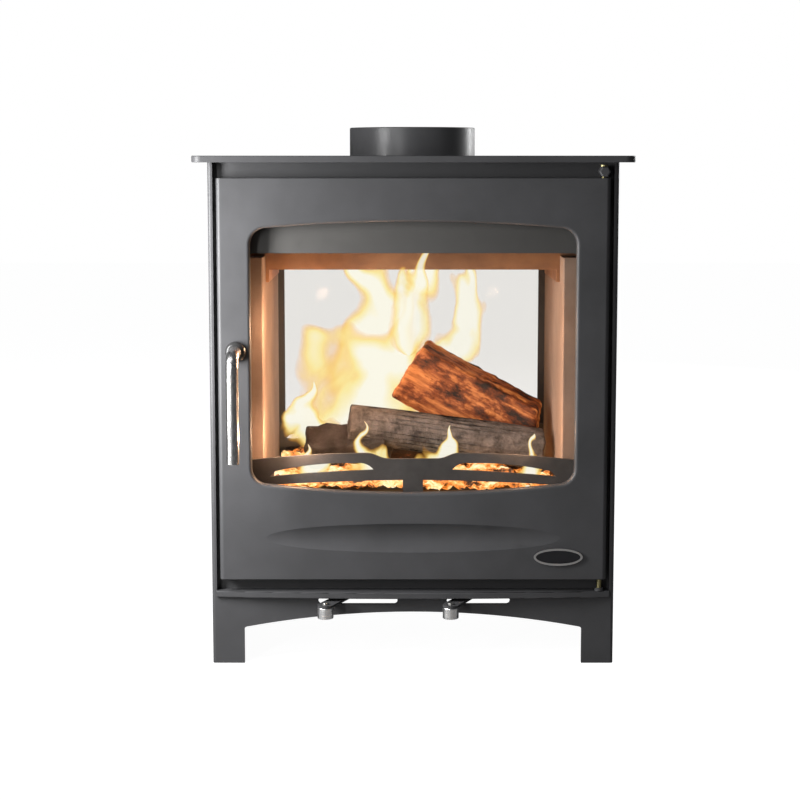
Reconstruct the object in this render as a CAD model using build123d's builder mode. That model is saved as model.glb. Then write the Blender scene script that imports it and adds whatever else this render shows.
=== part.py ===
from build123d import *
import os
from math import radians, tan

# Free-standing, double-sided wood burning stove: a welded steel body on four corner legs, with a
# glazed door in the front and the same door in the back. Millimetres, +Z up. The origin is on the
# floor under the middle of the stove; the front faces -Y and +X is to the right of someone facing it.

os.makedirs("parts", exist_ok=True)

# ---------------------------------------------------------------- driving dimensions
# body
stove_height = 624.5        # floor to the upper face of the top plate
body_width = 496.0          # over the two side panels
body_depth = 380.0          # front edge to back edge of a side panel
side_thickness = 6.0
side_edge_radius = 4.0      # rounded outer edges of the side panels
plate_thickness = 8.0
plate_overhang_side = 17.5  # top plate beyond the side panels
plate_overhang_front = 22.0
plate_corner_radius = 12.0
plate_edge_round = 1.0
base_height = 84.0          # floor to the underside of the base plate
base_thickness = 8.0
base_lip_end = 4.0          # base plate beyond the side panels, at its ends
base_lip_middle = 15.0      # and at the middle of its bowed edge
frame_thickness = 6.0
frame_header = 109.5        # top plate down to the opening
frame_sill = 33.0           # base plate up to the opening
frame_stile = {"front": 42.0, "rear": 64.0}  # side panel to the opening
apron_thickness = 6.0
leg_width = 33.3            # apron's share of a leg, inside the side panel
arch_middle = 65.0          # height of the apron's arch in the middle
arch_end = 45.5             # and where it meets the legs
arch_corner_radius = 4.0

# flue collar
flue_bore = 153.0           # takes a 150 mm flue pipe
collar_wall = 4.5
collar_height = 36.0
collar_shelf_height = 14.0  # shelf inside the collar, on which the flue pipe stands
collar_shelf_width = 12.5
collar_bolt_count = 3
bolt_radius = 3.0
bolt_head_radius = 5.0
bolt_head_height = 6.0
bolt_pocket_depth = 6.5
bolt_key_radius = 2.5       # hexagon socket in the head
bolt_key_depth = 3.0
nut_radius = 5.7
nut_height = 5.0
hole_clearance = 0.3        # between a bolt and its clearance hole

# firebox
wall_thickness = 4.0
brick_thickness = 38.0
brick_end_gap = 5.0         # bricks' ends to the log retainers
brick_below_opening = 7.0   # top of the door opening down to the bricks' tops
brick_joint = 0.6
convection_gap = 14.0       # side panel to the firebox wall
brick_wall_gap = 1.0
hearth_height = 196.0       # floor to the underside of the hearth plate
hearth_thickness = 6.0
hearth_hole = (220.0, 180.0)
grate_size = (236.0, 196.0)
grate_thickness = 10.0
grate_slot_width = 9.0
grate_slot_pitch = 20.0
grate_slot_count = 11
grate_rim = 14.0
baffle_setback = 50.0       # bricks' ends to the baffle's edges
baffle_sheet = 4.0
baffle_lip = 17.4           # front and back flanges, below the tray
baffle_side_lip = 33.0      # side flanges, which hold the bricks' tops
baffle_bearing = 23.0       # how far the tray lies over each brick
loose_fit = 0.3             # gap round pieces that lift out

# log retainers
retainer_thickness = 5.0
retainer_setback = 17.0     # frame's inner face to the retainer's back
retainer_end_gap = 19.0     # retainer's end to the firebox wall
retainer_foot = 15.0        # lower edge's ends above the hearth plate
retainer_end_height = 32.6
retainer_hump_height = 41.6
retainer_dip_height = 34.5
retainer_hump = 58.0        # distance of a hump from the middle
retainer_dip = 30.0
retainer_tab = 25.0
retainer_belly = 8.0        # lower edge's rise towards the middle
leaf_end = 27.0             # retainer's end to the outer end of its air slot
leaf_inner = 48.5           # middle of the stove to the slot's inner end
leaf_crown = 70.0
leaf_foot_height = 12.0     # above the retainer's lower edge at its ends
leaf_crown_height = 29.0
leaf_slant = 7.0
bracket_web = 4.5           # bracket's walls and floor, round the retainer's end
bracket_height = 32.0
bracket_reach = 21.0

# ash pan
pan_width = 210.0
pan_height = 58.0
pan_end_gap = 30.0          # pan's ends to the runners' ends
pan_sheet = 1.5
pan_handle = (60.0, 12.0)
runner_height = 35.0
runner_flange = 20.0
runner_sheet = 3.0
runner_end_gap = 7.0        # runner's end to the frame

# air wash channel behind each header
channel_depth = 22.0
channel_height = 35.0
channel_sheet = 3.0
channel_outlet = 7.0
channel_above_opening = 3.0
channel_end_gap = 2.0       # channel's ends inside the front opening's sides

# door
door_proud = 10.0           # door face in front of the side panels' edges
door_depth = 20.0
door_skin = 10.0
door_rim = 18.0
door_side_gap = 5.0
door_gap_below = 15.5
door_gap_above = 18.5
door_stand_off = 2.0        # door rim to frame
door_edge_radius = 5.0
door_front_round = 1.0
window_stile = 40.0
window_top_rail = 52.0
window_bottom_rail = 108.0
window_top_rise = 9.6       # bow of the window's upper edge
window_bottom_fall = 12.5   # bow of its lower edge
window_corner = 20.0
window_edge_round = 4.0
recess_end_margin = 57.0    # door's side to the recess's end
recess_half_height = 18.0
recess_depth = 7.0
recess_above_bottom = 52.0  # door's lower edge to the recess's middle
seal_width = 8.0
seal_groove_depth = 6.0
seal_gap = 0.5              # rope seal to frame
seal_corner = 14.0
seal_round = 1.2

# glass
glass_thickness = 4.0
glass_overlap = 9.0
glass_gasket_thickness = 3.0
glass_gasket_width = 7.0
clip_width = 16.0
clip_sheet = 2.0
clip_foot = 9.0
clip_tongue = 6.0
clip_gap = 1.5              # glass edge to the clip's upright
screw_radius = 2.0
screw_head_radius = 3.4
screw_head_height = 2.0
screw_depth = 6.0

# badge: a plain oval plate with a raised rim
badge_width = 60.0
badge_height = 21.5
badge_thickness = 2.2
badge_rim = 2.6
badge_sunk = 0.8
badge_from_edge = 59.0      # door's side to the badge's middle
badge_above_bottom = 28.5

# hinge
hinge_edge = 7.5            # door's edge to the hinge axis
pin_radius = 3.0
pin_clearance = 0.05
pin_depth = 12.0
pin_end_gap = 0.5
pin_head_radius = 4.5
pin_head_height = 2.0
lug_width = 12.0            # upper lug: a piece of hexagon bar, across flats
lug_reach = 24.0
lug_gap = 1.5               # door top to the upper lug
lug_chamfer = 1.5
washer_radius = 5.5         # under the lower corner of the door
washer_height = 3.6

# handle
spindle_edge = 22.0         # door's edge to the spindle
spindle_above_bottom = 281.5
spindle_radius = 5.0
spindle_clearance = 0.05
spindle_stub_radius = 4.0
boss_radius = 12.5
boss_height = 9.0
boss_dome = 5.0
boss_gap = 0.4
bar_radius = 7.5
bar_reach = 55.0            # door face to the bar's centre line
bar_drop = 130.0            # spindle to the bar's lower end
bar_bend = 16.0
bar_end_round = 1.5
bar_socket = 10.0
back_boss_radius = 8.5
back_boss_height = 6.0

# latch
cam_thickness = 6.0
cam_hub_radius = 7.0
cam_nose_radius = 5.0
cam_length = 24.0           # spindle to the nose's tip
cam_behind_frame = 4.5      # frame's inner face to the cam
keeper_gap = 1.5            # nose to keeper, so that the latch is left open
keeper_width = 15.0
keeper_height = 21.0
keeper_thickness = 4.0
notch_margin = 1.5          # cam hub to the frame's notch
notch_above = 6.5           # cam's nose to the notch's upper end
notch_below = 12.0
spindle_nut_width = 13.0    # across flats
spindle_nut_height = 6.0
spindle_end = 8.0

# air controls
slot_height = 8.5
slot_below_base = 1.0       # base plate's underside to the slots
slider_sheet = 3.0
slider_gap = 0.4
slider_depth = 80.0
slider_inset = 12.0         # apron's back to the slider's front edge
slider_end = 6.0            # metal beyond the ends of its slot
stud_radius = 3.0
stud_pitch = 14.0
stud_head_radius = 6.0
stud_head_height = 2.5
stud_from_back = 14.0
port_width = 8.0
port_length = 24.0
port_pitch = 18.0
port_count = 4
port_from_front = 38.0
lever_width = 18.0
lever_angle = 23.0          # lever's slant away from straight ahead
lever_root = 20.0           # slider's front edge back to the lever's root
knob_radius = 9.75
knob_height = 14.0
knob_reach = 28.0           # apron face to the knob's centre
knob_round = 1.2
knob_screw_radius = 2.0
knob_screw_head = 3.8
knob_screw_depth = 8.0
# name: (knob's place at rest, travel, slot's left end, slot's length)
controls = {
    "primary_air": (-107.0, 60.0, -117.0, 98.0),
    "airwash": (46.0, 46.0, 41.8, 78.0),
}

# ---------------------------------------------------------------- places that follow
plate_bottom = stove_height - plate_thickness
base_top = base_height + base_thickness
inner_half_width = body_width / 2 - side_thickness
half_depth = body_depth / 2
door_face = half_depth + door_proud
door_back = door_face - door_depth
frame_face = door_back - door_stand_off
frame_inner = frame_face - frame_thickness
opening_bottom = base_top + frame_sill
opening_top = plate_bottom - frame_header
opening_height = opening_top - opening_bottom
opening_width = {side: 2 * (inner_half_width - stile) for side, stile in frame_stile.items()}
channel_length = opening_width["front"] - 2 * channel_end_gap

door_half_width = inner_half_width - door_side_gap
door_bottom = base_top + door_gap_below
door_top = plate_bottom - door_gap_above
door_height = door_top - door_bottom
door_middle = (door_top + door_bottom) / 2
hinge_x = door_half_width - hinge_edge
hinge_out = door_face - door_depth / 2
lug_z = door_top + lug_gap + lug_width / 2
spindle_x = spindle_edge - door_half_width
spindle_z = door_bottom + spindle_above_bottom

recess_half_width = door_half_width - recess_end_margin
badge_x = door_half_width - badge_from_edge
window_half_width = door_half_width - window_stile
window_bottom = door_bottom + window_bottom_rail
window_top = door_top - window_top_rail
glass_half_width = window_half_width + glass_overlap
glass_bottom = window_bottom - glass_overlap
glass_top = window_top + glass_overlap
glass_middle = (glass_top + glass_bottom) / 2
glass_height = glass_top - glass_bottom
skin_back = door_face - door_skin
glass_front = skin_back - glass_gasket_thickness
glass_back = glass_front - glass_thickness

hearth_top = hearth_height + hearth_thickness
brick_top = opening_top - brick_below_opening
brick_height = brick_top - hearth_top
wall_inner = inner_half_width - convection_gap - wall_thickness
firebox_half_width = wall_inner - brick_wall_gap - brick_thickness
retainer_stand_off = frame_inner - retainer_setback
retainer_half_width = wall_inner - retainer_end_gap
brick_length = 2 * (retainer_stand_off - brick_end_gap)
baffle_depth = brick_length - 2 * baffle_setback
runner_length = 2 * (frame_inner - runner_end_gap)
pan_length = runner_length - 2 * pan_end_gap
slider_top = base_height - slider_gap
lever_top = slider_top - slider_sheet
slider_front = half_depth - apron_thickness - slider_inset
lever_slant = tan(radians(lever_angle))
collar_radius = flue_bore / 2 + collar_wall
throat_radius = flue_bore / 2 - collar_shelf_width
collar_bolt_circle = (throat_radius + flue_bore / 2) / 2 + 0.25


def slider_middle(knob_x):
    """Where a control's slider has its middle, under the air holes, with its knob at knob_x."""
    return knob_x + knob_reach * lever_slant


def outermost(shape, wall):
    """The flat face of a shape that is furthest out on the side of the stove that wall is for."""
    return shape.faces().filter_by(Axis.Y).sort_by(Axis(wall.origin, wall.z_dir))[-1]


# Each side of the stove has a plane: x to the right and y up for someone facing that side, and
# its normal out towards them. What is on both sides is made once for each of these planes.
sides = {
    "front": Plane(origin=(0, 0, 0), x_dir=(1, 0, 0), z_dir=(0, -1, 0)),
    "rear": Plane(origin=(0, 0, 0), x_dir=(-1, 0, 0), z_dir=(0, 1, 0)),
}

# ---------------------------------------------------------------- top plate and flue collar
with BuildPart() as top_plate:
    with BuildSketch(Plane.XY.offset(plate_bottom)):
        RectangleRounded(
            body_width + 2 * plate_overhang_side,
            body_depth + 2 * plate_overhang_front,
            plate_corner_radius,
        )
        Circle(throat_radius, mode=Mode.SUBTRACT)
        with PolarLocations(collar_bolt_circle, collar_bolt_count, 90):
            Circle(bolt_radius + hole_clearance, mode=Mode.SUBTRACT)
    extrude(amount=plate_thickness)
    fillet(top_plate.faces().sort_by(Axis.Z)[-1].outer_wire().edges(), plate_edge_round)
    fillet(top_plate.faces().sort_by(Axis.Z)[0].outer_wire().edges(), plate_edge_round)
top_plate.part.label = "top_plate"
export_step(top_plate.part, "parts/top_plate.step")

with BuildPart() as flue_collar:
    with BuildSketch(Plane.XY.offset(stove_height)):
        Circle(collar_radius)
        Circle(flue_bore / 2, mode=Mode.SUBTRACT)
    extrude(amount=collar_height)
    with BuildSketch(Plane.XY.offset(stove_height)):
        Circle(flue_bore / 2 + 1)
        Circle(throat_radius, mode=Mode.SUBTRACT)
        with PolarLocations(collar_bolt_circle, collar_bolt_count, 90):
            Circle(bolt_radius + hole_clearance, mode=Mode.SUBTRACT)
    extrude(amount=collar_shelf_height)
    with BuildSketch(Plane.XY.offset(stove_height + collar_shelf_height)):
        with PolarLocations(collar_bolt_circle, collar_bolt_count, 90):
            Circle(bolt_head_radius + hole_clearance)
    extrude(amount=-bolt_pocket_depth, mode=Mode.SUBTRACT)
    top_rim = flue_collar.faces().sort_by(Axis.Z)[-1].outer_wire().edges()
    chamfer(top_rim, 1.0)
flue_collar.part.label = "flue_collar"
export_step(flue_collar.part, "parts/flue_collar.step")

bolt_seat = stove_height + collar_shelf_height - bolt_pocket_depth
with BuildPart() as collar_bolts:
    for direction in PolarLocations(collar_bolt_circle, collar_bolt_count, 90).locations:
        bolt_x, bolt_y, _ = direction.position
        with BuildSketch(Plane(origin=(bolt_x, bolt_y, bolt_seat))):
            Circle(bolt_head_radius)
        extrude(amount=bolt_head_height)
        with BuildSketch(Plane(origin=(bolt_x, bolt_y, bolt_seat + bolt_head_height))):
            RegularPolygon(bolt_key_radius, 6)
        extrude(amount=-bolt_key_depth, mode=Mode.SUBTRACT)
        with BuildSketch(Plane(origin=(bolt_x, bolt_y, bolt_seat))):
            Circle(bolt_radius)
        extrude(amount=-(bolt_seat - plate_bottom + nut_height + 1))
        with BuildSketch(Plane(origin=(bolt_x, bolt_y, plate_bottom - nut_height))):
            RegularPolygon(nut_radius, 6)
        extrude(amount=nut_height)
collar_bolts.part.label = "collar_bolts"
export_step(collar_bolts.part, "parts/collar_bolts.step")

# ---------------------------------------------------------------- body panels
for name, hand in (("left", -1), ("right", 1)):
    with BuildPart() as side_panel:
        with BuildSketch(Plane.XY):
            with Locations((hand * (body_width - side_thickness) / 2, 0)):
                Rectangle(side_thickness, body_depth)
        extrude(amount=plate_bottom)
        outer_corners = side_panel.edges().filter_by(Axis.Z).sort_by(Axis.X)
        outer_corners = outer_corners[:2] if hand < 0 else outer_corners[-2:]
        fillet(outer_corners, side_edge_radius)
    side_panel.part.label = f"{name}_side_panel"
    export_step(side_panel.part, f"parts/{name}_side_panel.step")

    with BuildPart() as firebox_wall:
        with BuildSketch(Plane.XY.offset(base_top)):
            with Locations((hand * (wall_inner + wall_thickness / 2), 0)):
                Rectangle(wall_thickness, 2 * frame_inner)
        extrude(amount=plate_bottom - base_top)
    firebox_wall.part.label = f"{name}_firebox_wall"
    export_step(firebox_wall.part, f"parts/{name}_firebox_wall.step")

    with BuildPart() as firebricks:
        with BuildSketch(Plane.XY.offset(hearth_top)):
            with Locations((hand * (firebox_half_width + brick_thickness / 2), 0)):
                with GridLocations(0, brick_length / 2, 1, 2):
                    Rectangle(brick_thickness, brick_length / 2 - brick_joint)
        extrude(amount=brick_height)
        chamfer(firebricks.edges().filter_by(Axis.Z), 1.5)
    firebricks.part.label = f"{name}_firebricks"
    export_step(firebricks.part, f"parts/{name}_firebricks.step")

with BuildPart() as base_plate:
    with BuildSketch(Plane.XY.offset(base_height)):
        with BuildLine():
            lip_end = half_depth + base_lip_end
            lip_middle = half_depth + base_lip_middle
            ThreePointArc((-inner_half_width, -lip_end), (0, -lip_middle), (inner_half_width, -lip_end))
            Line((inner_half_width, -lip_end), (inner_half_width, lip_end))
            ThreePointArc((inner_half_width, lip_end), (0, lip_middle), (-inner_half_width, lip_end))
            Line((-inner_half_width, lip_end), (-inner_half_width, -lip_end))
        make_face()
    extrude(amount=base_thickness)
    bowed_edges = base_plate.edges().filter_by(GeomType.CIRCLE)
    fillet(bowed_edges, 1.5)
    for knob_x, _, _, _ in controls.values():
        with BuildSketch(Plane.XY.offset(base_height)):
            with Locations((slider_middle(knob_x), port_from_front - slider_front)):
                with GridLocations(port_pitch, 0, port_count, 1):
                    SlotOverall(port_length, port_width, rotation=90)
        extrude(amount=base_thickness, mode=Mode.SUBTRACT)
base_plate.part.label = "base_plate"
export_step(base_plate.part, "parts/base_plate.step")

for side, wall in sides.items():
    with BuildPart() as apron:
        with BuildSketch(wall.offset(half_depth - apron_thickness)) as apron_face:
            with BuildLine():
                leg_inner = inner_half_width - leg_width
                Polyline(
                    (-leg_inner, arch_end),
                    (-leg_inner, 0),
                    (-inner_half_width, 0),
                    (-inner_half_width, base_height),
                    (inner_half_width, base_height),
                    (inner_half_width, 0),
                    (leg_inner, 0),
                    (leg_inner, arch_end),
                )
                ThreePointArc((leg_inner, arch_end), (0, arch_middle), (-leg_inner, arch_end))
            make_face()
            arch_corners = apron_face.vertices().filter_by(lambda corner: abs(corner.Y - arch_end) < 0.1)
            fillet(arch_corners, arch_corner_radius)
            if side == "front":
                for _, _, slot_start, slot_length in controls.values():
                    slot_z = base_height - slot_below_base - slot_height / 2
                    with Locations((slot_start + slot_length / 2, slot_z)):
                        SlotOverall(slot_length, slot_height, mode=Mode.SUBTRACT)
        extrude(amount=apron_thickness)
    apron.part.label = f"{side}_apron"
    export_step(apron.part, f"parts/{side}_apron.step")

    # Door frame: the body's end wall, with the fire opening and a notch for the latch.
    with BuildPart() as frame:
        with BuildSketch(wall.offset(frame_inner)):
            with Locations((0, (base_top + plate_bottom) / 2)):
                Rectangle(2 * inner_half_width, plate_bottom - base_top)
            with Locations((0, (opening_top + opening_bottom) / 2)):
                RectangleRounded(opening_width[side], opening_height, 6, mode=Mode.SUBTRACT)
            notch_left = spindle_x - cam_hub_radius - notch_margin
            notch_width = cam_hub_radius + cam_length + 2 * notch_margin
            with Locations((notch_left, spindle_z - notch_below)):
                Rectangle(
                    notch_width,
                    notch_below + cam_length + notch_above,
                    align=(Align.MIN, Align.MIN),
                    mode=Mode.SUBTRACT,
                )
        extrude(amount=frame_thickness)
    frame.part.label = f"{side}_frame"
    export_step(frame.part, f"parts/{side}_frame.step")

    # Folded channel behind the header, which lets preheated air down over the glass.
    channel_bottom = opening_top + channel_above_opening
    channel_top = channel_bottom + channel_height
    section = Plane(
        origin=wall.from_local_coords((-channel_length / 2, 0, 0)),
        x_dir=wall.z_dir,
        z_dir=wall.x_dir,
    )
    with BuildPart() as airwash_channel:
        with BuildSketch(section):
            with BuildLine():
                channel_back = frame_inner - channel_depth
                up = section.y_dir.Z
                Polyline(
                    (frame_inner, up * channel_top),
                    (channel_back, up * channel_top),
                    (channel_back, up * channel_bottom),
                    (frame_inner - channel_outlet, up * channel_bottom),
                    (frame_inner - channel_outlet, up * (channel_bottom + channel_sheet)),
                    (channel_back + channel_sheet, up * (channel_bottom + channel_sheet)),
                    (channel_back + channel_sheet, up * (channel_top - channel_sheet)),
                    (frame_inner, up * (channel_top - channel_sheet)),
                    close=True,
                )
            make_face()
        extrude(amount=channel_length)
    airwash_channel.part.label = f"{side}_airwash_channel"
    export_step(airwash_channel.part, f"parts/{side}_airwash_channel.step")

# ---------------------------------------------------------------- firebox
with BuildPart() as hearth_plate:
    with BuildSketch(Plane.XY.offset(hearth_height)):
        Rectangle(2 * wall_inner, 2 * frame_inner)
        Rectangle(*hearth_hole, mode=Mode.SUBTRACT)
    extrude(amount=hearth_thickness)
hearth_plate.part.label = "hearth_plate"
export_step(hearth_plate.part, "parts/hearth_plate.step")

with BuildPart() as grate:
    with BuildSketch(Plane.XY.offset(hearth_top)):
        RectangleRounded(*grate_size, 6)
        with GridLocations(grate_slot_pitch, 0, grate_slot_count, 1):
            slot_run = grate_size[1] - 2 * grate_rim
            with GridLocations(0, slot_run / 2, 1, 2):
                slot_length = slot_run / 2 - grate_slot_width
                SlotOverall(slot_length, grate_slot_width, rotation=90, mode=Mode.SUBTRACT)
    extrude(amount=grate_thickness)
    fillet(grate.faces().sort_by(Axis.Z)[-1].edges(), 1.5)
grate.part.label = "grate"
export_step(grate.part, "parts/grate.step")

with BuildPart() as baffle_tray:
    flange_face = firebox_half_width - loose_fit
    with BuildSketch(Plane.XY.offset(brick_top)):
        Rectangle(2 * (firebox_half_width + baffle_bearing), baffle_depth)
    extrude(amount=baffle_sheet)
    with BuildSketch(Plane.XY.offset(brick_top)):
        with GridLocations(0, baffle_depth - baffle_sheet, 1, 2):
            Rectangle(2 * flange_face, baffle_sheet)
    extrude(amount=-baffle_lip)
    with BuildSketch(Plane.XY.offset(brick_top)):
        with GridLocations(2 * flange_face - baffle_sheet, 0, 2, 1):
            Rectangle(baffle_sheet, baffle_depth)
    extrude(amount=-baffle_side_lip)
baffle_tray.part.label = "baffle_tray"
export_step(baffle_tray.part, "parts/baffle_tray.step")

retainer_bottom = hearth_top + retainer_foot
leaf_outer = retainer_half_width - leaf_end
leaf_low = retainer_bottom + leaf_foot_height
leaf_high = retainer_bottom + leaf_crown_height
end_z = retainer_bottom + retainer_end_height
hump_z = retainer_bottom + retainer_hump_height
dip_z = retainer_bottom + retainer_dip_height
belly_z = retainer_bottom + retainer_belly
shoulder = (retainer_half_width + retainer_hump) / 2
shoulder_z = (end_z + hump_z) / 2 + 2
for side, wall in sides.items():
    with BuildPart() as log_retainer:
        with BuildSketch(wall.offset(retainer_stand_off)) as retainer_face:
            with BuildLine():
                Polyline(
                    (0, dip_z),
                    (0, hearth_top),
                    (retainer_tab / 2, hearth_top),
                    (retainer_tab / 2, belly_z),
                )
                ThreePointArc(
                    (retainer_tab / 2, belly_z),
                    (retainer_half_width / 2, retainer_bottom + retainer_belly * 0.7),
                    (retainer_half_width, retainer_bottom),
                )
                Line((retainer_half_width, retainer_bottom), (retainer_half_width, end_z))
                ThreePointArc((retainer_half_width, end_z), (shoulder, shoulder_z), (retainer_hump, hump_z))
                Spline((retainer_hump, hump_z), (retainer_dip, dip_z), tangents=((-1, 0), (-1, 0)))
                Line((retainer_dip, dip_z), (0, dip_z))
            make_face()
            # a leaf-shaped air slot, its blunt end towards the middle
            with BuildLine():
                leaf_foot = (leaf_outer, leaf_low)
                leaf_shoulder = (leaf_outer - leaf_slant, leaf_low + leaf_slant)
                leaf_top = (leaf_crown, leaf_high)
                leaf_heel = (leaf_inner, (leaf_low + leaf_high) / 2)
                Line(leaf_foot, leaf_shoulder)
                leaf_back = (leaf_outer + leaf_crown) / 2
                ThreePointArc(leaf_shoulder, (leaf_back, leaf_high - 2), leaf_top)
                ThreePointArc(leaf_top, (leaf_inner + 6, leaf_high - 3), leaf_heel)
                ThreePointArc(leaf_heel, (leaf_back, leaf_low + 4.5), leaf_foot)
            make_face(mode=Mode.SUBTRACT)
            mirror(about=Plane.YZ)
        extrude(amount=retainer_thickness)
    log_retainer.part.label = f"{side}_log_retainer"
    export_step(log_retainer.part, f"parts/{side}_log_retainer.step")

bracket_face = wall_inner - bracket_reach
with BuildPart() as retainer_brackets:
    for wall in sides.values():
        for hand, edge in ((-1, Align.MAX), (1, Align.MIN)):
            with BuildSketch(wall.offset(retainer_stand_off - bracket_web)):
                with Locations((hand * bracket_face, retainer_bottom - bracket_web)):
                    Rectangle(bracket_reach, bracket_height, align=(edge, Align.MIN))
            extrude(amount=retainer_thickness + 2 * bracket_web)
            with BuildSketch(wall.offset(retainer_stand_off - loose_fit)):
                with Locations((hand * bracket_face, retainer_bottom)):
                    slot_reach = retainer_half_width + loose_fit - bracket_face
                    Rectangle(slot_reach, bracket_height, align=(edge, Align.MIN))
            extrude(amount=retainer_thickness + 2 * loose_fit, mode=Mode.SUBTRACT)
retainer_brackets.part.label = "retainer_brackets"
export_step(retainer_brackets.part, "parts/retainer_brackets.step")

# ---------------------------------------------------------------- ash pan
with BuildPart() as ash_pan_runners:
    for hand in (-1, 1):
        web_x = hand * (pan_width / 2 - 8)
        with BuildSketch(Plane.XY.offset(base_top)):
            with Locations((web_x, 0)):
                Rectangle(runner_sheet, runner_length)
        extrude(amount=runner_height)
        with BuildSketch(Plane.XY.offset(base_top + runner_height - runner_sheet)):
            with Locations((web_x - hand * (runner_flange - runner_sheet) / 2, 0)):
                Rectangle(runner_flange, runner_length)
        extrude(amount=runner_sheet)
ash_pan_runners.part.label = "ash_pan_runners"
export_step(ash_pan_runners.part, "parts/ash_pan_runners.step")

with BuildPart() as ash_pan:
    pan_bottom = base_top + runner_height
    with BuildSketch(Plane.XY.offset(pan_bottom)):
        RectangleRounded(pan_width, pan_length, 8)
    extrude(amount=pan_height)
    offset(amount=-pan_sheet, openings=ash_pan.faces().sort_by(Axis.Z)[-1])
    with BuildSketch(Plane.XY.offset(pan_bottom + pan_height - pan_sheet)):
        for end in (-1, 1):
            with Locations((0, end * (pan_length + pan_handle[1]) / 2)):
                Rectangle(pan_handle[0], pan_handle[1])
    extrude(amount=pan_sheet)
ash_pan.part.label = "ash_pan"
export_step(ash_pan.part, "parts/ash_pan.step")

# ---------------------------------------------------------------- doors
for side, wall in sides.items():
    with BuildPart() as door:
        with BuildSketch(wall.offset(door_back)):
            with Locations((0, door_middle)):
                Rectangle(2 * door_half_width, door_height)
        extrude(amount=door_depth)
        fillet(door.edges().filter_by(Axis.Z), door_edge_radius)
        fillet(outermost(door, wall).edges().filter_by(Axis.X), door_front_round)
        # the back is hollowed out to the skin, leaving a rim that carries the rope seal
        with BuildSketch(wall.offset(door_back)):
            with Locations((0, door_middle)):
                RectangleRounded(2 * (door_half_width - door_rim), door_height - 2 * door_rim, 6)
        extrude(amount=door_depth - door_skin, mode=Mode.SUBTRACT)
        seal_inset = door_rim / 2 - seal_width / 2
        seal_outer = (2 * (door_half_width - seal_inset), door_height - 2 * seal_inset)
        seal_inner = (seal_outer[0] - 2 * seal_width, seal_outer[1] - 2 * seal_width)
        with BuildSketch(wall.offset(door_back)):
            with Locations((0, door_middle)):
                RectangleRounded(*seal_outer, seal_corner)
                RectangleRounded(*seal_inner, seal_corner - seal_width, mode=Mode.SUBTRACT)
        extrude(amount=seal_groove_depth, mode=Mode.SUBTRACT)
        # window with bowed upper and lower edges
        with BuildSketch(wall.offset(skin_back)) as window:
            low_corner = window_bottom + window_bottom_fall
            high_corner = window_top - window_top_rise
            with BuildLine():
                Line((-window_half_width, high_corner), (-window_half_width, low_corner))
                ThreePointArc(
                    (-window_half_width, low_corner), (0, window_bottom), (window_half_width, low_corner)
                )
                Line((window_half_width, low_corner), (window_half_width, high_corner))
                ThreePointArc(
                    (window_half_width, high_corner), (0, window_top), (-window_half_width, high_corner)
                )
            make_face()
            fillet(window.vertices(), window_corner)
        extrude(amount=door_skin, mode=Mode.SUBTRACT)
        fillet(outermost(door, wall).inner_wires()[0].edges(), window_edge_round)
        # scooped recess: a ring of round section, of very large radius, stands before the door
        scoop_radius = (recess_half_height**2 + recess_depth**2) / (2 * recess_depth)
        sweep_radius = (recess_half_width**2 + recess_depth**2) / (2 * recess_depth) - scoop_radius
        scoop_out = door_face - recess_depth + scoop_radius
        recess_z = door_bottom + recess_above_bottom
        with BuildSketch(Plane(origin=wall.origin, x_dir=wall.z_dir, z_dir=wall.x_dir)) as scoop:
            with Locations((scoop_out, recess_z * scoop.workplanes[0].y_dir.Z)):
                Circle(scoop_radius)
        ring_axis = Axis(wall.from_local_coords((0, 0, scoop_out + sweep_radius)), (0, 0, 1))
        revolve(axis=ring_axis, revolution_arc=6, mode=Mode.SUBTRACT)
        revolve(scoop.sketch, axis=ring_axis, revolution_arc=-6, mode=Mode.SUBTRACT)
        # spindle bearing and hinge pin holes
        with BuildSketch(wall.offset(skin_back - back_boss_height)):
            with Locations((spindle_x, spindle_z)):
                Circle(back_boss_radius)
        extrude(amount=back_boss_height)
        with BuildSketch(wall.offset(door_back)):
            with Locations((spindle_x, spindle_z)):
                Circle(spindle_radius + spindle_clearance)
        extrude(amount=door_depth, mode=Mode.SUBTRACT)
        for pin_plane in (door_bottom, door_top - pin_depth):
            pin_x, pin_y, _ = wall.from_local_coords((hinge_x, 0, hinge_out))
            with BuildSketch(Plane(origin=(pin_x, pin_y, pin_plane))):
                Circle(pin_radius + pin_clearance)
            extrude(amount=pin_depth, mode=Mode.SUBTRACT)
        if side == "front":
            with BuildSketch(wall.offset(door_face)):
                with Locations((badge_x, door_bottom + badge_above_bottom)):
                    Ellipse(badge_width / 2, badge_height / 2)
            extrude(amount=-badge_sunk, mode=Mode.SUBTRACT)
    door.part.label = f"{side}_door"
    export_step(door.part, f"parts/{side}_door.step")

    with BuildPart() as door_rope_seal:
        with BuildSketch(wall.offset(frame_face + seal_gap)):
            with Locations((0, door_middle)):
                RectangleRounded(*seal_outer, seal_corner)
                RectangleRounded(*seal_inner, seal_corner - seal_width, mode=Mode.SUBTRACT)
        extrude(amount=door_back - frame_face - seal_gap + seal_groove_depth)
        seal_face = door_rope_seal.faces().filter_by(Axis.Y).sort_by(Axis(wall.origin, -wall.z_dir))[-1]
        fillet(seal_face.edges(), seal_round)
    door_rope_seal.part.label = f"{side}_door_rope_seal"
    export_step(door_rope_seal.part, f"parts/{side}_door_rope_seal.step")

    with BuildPart() as glass:
        with BuildSketch(wall.offset(glass_back)):
            with Locations((0, glass_middle)):
                Rectangle(2 * glass_half_width, glass_height)
        extrude(amount=glass_thickness)
        chamfer(glass.edges().filter_by(Axis.Y), 3)
    glass.part.label = f"{side}_glass"
    export_step(glass.part, f"parts/{side}_glass.step")

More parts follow.
